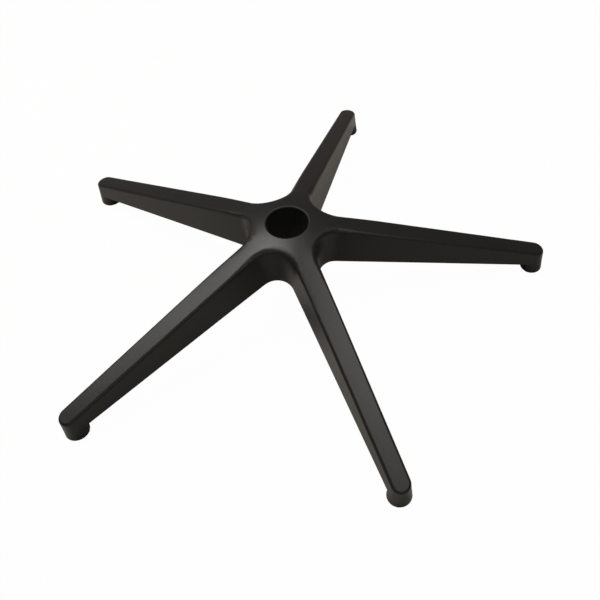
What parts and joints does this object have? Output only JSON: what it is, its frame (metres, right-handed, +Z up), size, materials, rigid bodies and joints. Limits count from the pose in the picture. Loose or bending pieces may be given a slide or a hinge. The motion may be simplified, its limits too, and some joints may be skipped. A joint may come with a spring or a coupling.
{
  "type": "office chair star base",
  "caption": "One-piece cast star base of a swivel chair: domed hub with a tapered column socket, and slim sloping legs with a caster stem socket under each tip.",
  "frame": {"origin": "centre of the hub's mouth, on the hub axis, at the rim of the tapered socket", "axes": "+Z up the hub axis, out of the socket's mouth; +X along one of the legs"},
  "size_m": [0.6, 0.6294, 0.1175],
  "materials": {
    "powder_coat": "satin black powder coat on cast light alloy"
  },
  "bodies": {
    "root": {"star_base": "powder_coat"}
  },
  "joints": []
}
